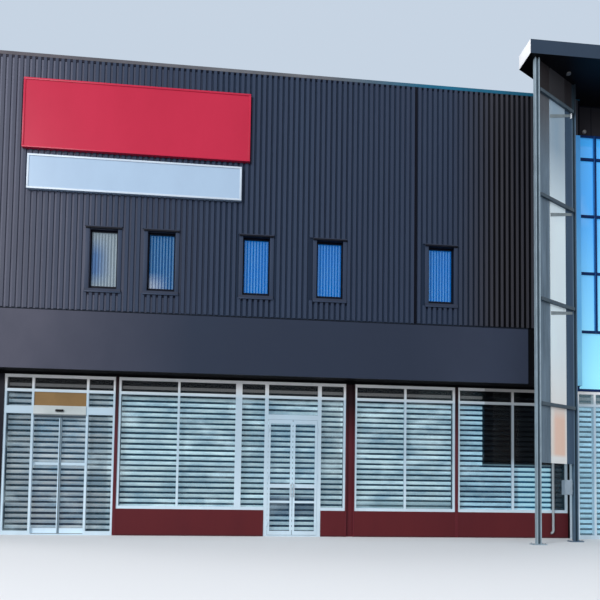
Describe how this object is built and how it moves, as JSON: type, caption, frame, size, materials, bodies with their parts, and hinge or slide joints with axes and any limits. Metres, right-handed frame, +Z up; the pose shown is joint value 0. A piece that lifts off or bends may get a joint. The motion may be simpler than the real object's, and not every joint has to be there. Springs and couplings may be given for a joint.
{
  "type": "supermarket building",
  "caption": "Two-storey supermarket building with dark ribbed cladding over a glazed shopfront, sliding and swing doors, and a tall entrance porch on steel posts.",
  "frame": {"origin": "middle of the base of the whole building, on the ground", "axes": "+X to the right along the front, +Y from the front into the building, +Z up"},
  "size_m": [22.156, 13.455, 11.1],
  "materials": {
    "cladding": "dark profiled metal cladding",
    "fascia": "smooth dark metal band",
    "plain_wall": "dark rendered block wall",
    "floor": "concrete",
    "roof": "bitumen roof sheet",
    "capping": "folded dark capping",
    "soffit": "dark lining",
    "burgundy": "burgundy paint",
    "plinth": "burgundy plinth facing",
    "frame": "pale anodised frame",
    "glass": "clear glazing",
    "shutter": "pale roller shutter slats",
    "panel": "brown blank panel",
    "operator": "door operator cover",
    "upper_frame": "near-black window frame",
    "drip": "dark folded drips",
    "sign_pale": "pale blank tray",
    "sign_red": "red blank tray",
    "post": "galvanised steel",
    "screen_grey": "grey-blue sheet",
    "screen_edge": "dark grey sheet",
    "screen_white": "white sheet",
    "porch_roof": "dark fascia and lining",
    "curtain": "dark curtain-wall bars",
    "box": "grey cabinet",
    "pipe": "pale downpipe",
    "lamp": "lamp cover"
  },
  "bodies": {
    "building": {"ground_floor": "floor", "upper_floor": "floor", "roof_deck": "roof", "front_cladding_left": "cladding", "front_cladding_right": "cladding", "front_cladding_wing": "cladding", "fascia_wall": "soffit", "fascia_band": "fascia", "left_cladding": "cladding", "right_cladding": "cladding", "back_cladding": "cladding", "left_lower_wall": "plain_wall", "right_lower_wall": "plain_wall", "back_lower_wall": "plain_wall", "parapet_capping": "capping", "shop_soffit": "soffit", "columns": "burgundy", "porch_jambs": "soffit", "plinths": "plinth", "window_frames": "frame", "slide_frame": "frame", "blank_panel": "panel", "operator_housing": "operator", "door_frame": "frame", "thresholds": "frame", "shop_glass": "glass", "roller_shutters": "shutter", "upper_window_frames": "upper_frame", "upper_window_glass": "glass", "upper_window_drips": "drip", "pale_sign": "sign_pale", "red_sign": "sign_red", "porch_posts": "post", "narrow_screens": "screen_grey", "wide_screens": "screen_white", "edge_screens": "screen_edge", "screen_rails": "post", "service_box": "box", "downpipe": "pipe", "porch_lamps": "lamp", "porch_roof": "porch_roof", "curtain_frame": "curtain", "porch_glass": "glass", "curtain_header": "soffit", "entrance_frame": "frame"},
    "sliding_left": {"sliding_leaf_left": "frame", "sliding_glass_left": "glass"},
    "sliding_right": {"sliding_leaf_right": "frame", "sliding_glass_right": "glass"},
    "swing_left": {"swing_leaf_left": "frame", "swing_glass_left": "glass"},
    "swing_right": {"swing_leaf_right": "frame", "swing_glass_right": "glass"}
  },
  "joints": [
    {"name": "slide_left", "type": "slide", "parent": "building", "child": "sliding_left", "axis": [-1, 0, 0], "range_m": [0, 0.48]},
    {"name": "slide_right", "type": "slide", "parent": "building", "child": "sliding_right", "axis": [1, 0, 0], "range_m": [0, 0.48]},
    {"name": "swing_left_hinge", "type": "hinge", "parent": "building", "child": "swing_left", "pos_m": [-2.2175, -4.8815, 1.4], "axis": [0, 0, -1], "range_deg": [0, 90]},
    {"name": "swing_right_hinge", "type": "hinge", "parent": "building", "child": "swing_right", "pos_m": [-1.0535, -4.8815, 1.4], "axis": [0, 0, 1], "range_deg": [0, 90]}
  ],
  "couplings": [
    {"joint": "slide_right", "follows": "slide_left", "ratio": 1}
  ]
}
